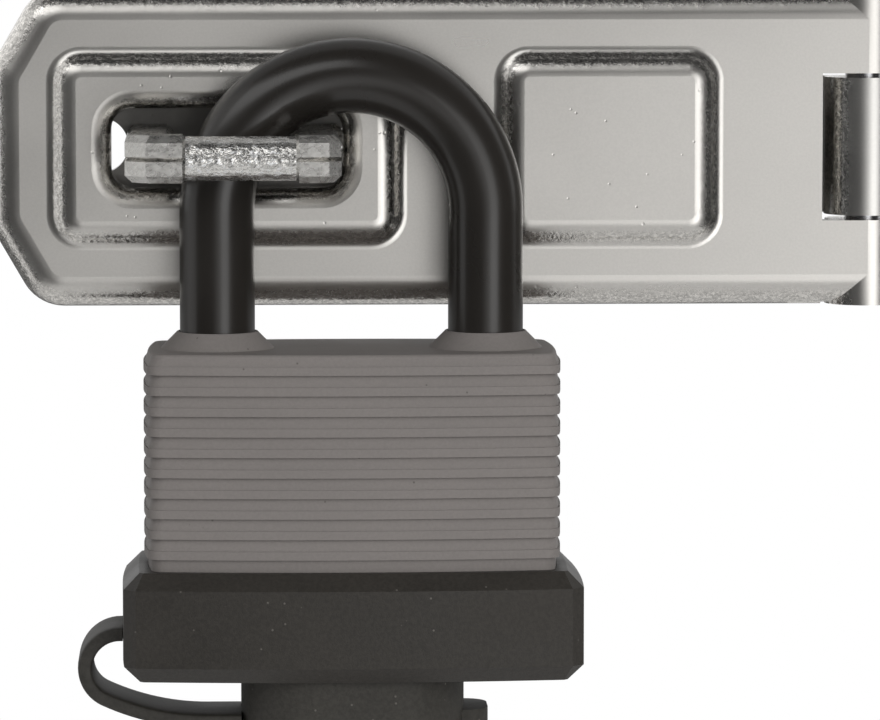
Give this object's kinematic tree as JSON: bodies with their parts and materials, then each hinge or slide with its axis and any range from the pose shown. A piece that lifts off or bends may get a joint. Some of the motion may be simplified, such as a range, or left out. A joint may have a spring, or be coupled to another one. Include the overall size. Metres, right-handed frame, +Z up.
{
  "type": "hasp and padlock",
  "caption": "Pressed steel hasp with rolled hinge and forged staple, held shut by a padlock with ribbed jacket and capped keyway.",
  "frame": {"origin": "centre of the hinge base's four screw holes, on the mounting surface", "axes": "+X along the hasp from its free end to its hinge, +Z up, -Y away from the mounting surface"},
  "size_m": [0.0993, 0.0283, 0.0796],
  "materials": {
    "plated_leaf": "bright plated, satin",
    "plated_plate": "plated",
    "forged_staple": "forged and plated, grainy",
    "dark_shackle": "glossy dark brown-black coating",
    "brass_body": "machined",
    "grey_vinyl": "satin warm grey vinyl",
    "black_plastic": "fine-grained black moulding",
    "bright_steel": "turned",
    "black_rubber": "matt black soft moulding"
  },
  "bodies": {
    "base": {"hinge_base": "plated_plate", "hinge_pin": "plated_plate"},
    "leaf": {"leaf": "plated_leaf", "staple_eye": "forged_staple", "staple_plate": "plated_plate"},
    "lock": {"lock_block": "brass_body", "jacket": "grey_vinyl", "bottom_cover": "black_plastic", "heel_retainer": "bright_steel", "plug_retainer": "bright_steel", "driver_pins": "brass_body", "pin_springs": "bright_steel", "bore_closers": "brass_body", "shackle_spring": "bright_steel", "cap_strap": "black_rubber"},
    "shackle": {"shackle": "dark_shackle"},
    "plug": {"plug": "brass_body", "cam": "bright_steel", "key_pins": "brass_body"},
    "toe_bolt": {"toe_bolt": "bright_steel"},
    "heel_bolt": {"heel_bolt": "bright_steel"},
    "cap": {"keyway_cap": "black_rubber"}
  },
  "joints": [
    {"name": "leaf_hinge", "type": "hinge", "parent": "base", "child": "leaf", "pos_m": [0.0277, -0.00435, 0], "axis": [0, 0, 1], "range_deg": [0, 170]},
    {"name": "padlock_swing", "type": "hinge", "parent": "leaf", "child": "lock", "pos_m": [-0.0284, -0.0158, 0.00415], "axis": [1, 0, 0], "range_deg": [-10, 4]},
    {"name": "shackle_lift", "type": "slide", "parent": "lock", "child": "shackle", "axis": [0, 0, 1], "range_m": [0, 0.012], "deforming": ["shackle_spring"]},
    {"name": "plug_turn", "type": "hinge", "parent": "lock", "child": "plug", "pos_m": [-0.0284, -0.0158, -0.05], "axis": [0, 0, 1], "range_deg": [-90, 0]},
    {"name": "toe_bolt_slide", "type": "slide", "parent": "lock", "child": "toe_bolt", "axis": [-1, 0, 0], "range_m": [0, 0.0015]},
    {"name": "heel_bolt_slide", "type": "slide", "parent": "lock", "child": "heel_bolt", "axis": [1, 0, 0], "range_m": [0, 0.0015]},
    {"name": "cap_pull", "type": "slide", "parent": "lock", "child": "cap", "axis": [0, 0, -1], "range_m": [0, 0.004], "deforming": ["cap_strap"]}
  ],
  "couplings": [
    {"joint": "toe_bolt_slide", "follows": "plug_turn", "m_per_rad": -0.00095493},
    {"joint": "heel_bolt_slide", "follows": "plug_turn", "m_per_rad": -0.00095493}
  ]
}
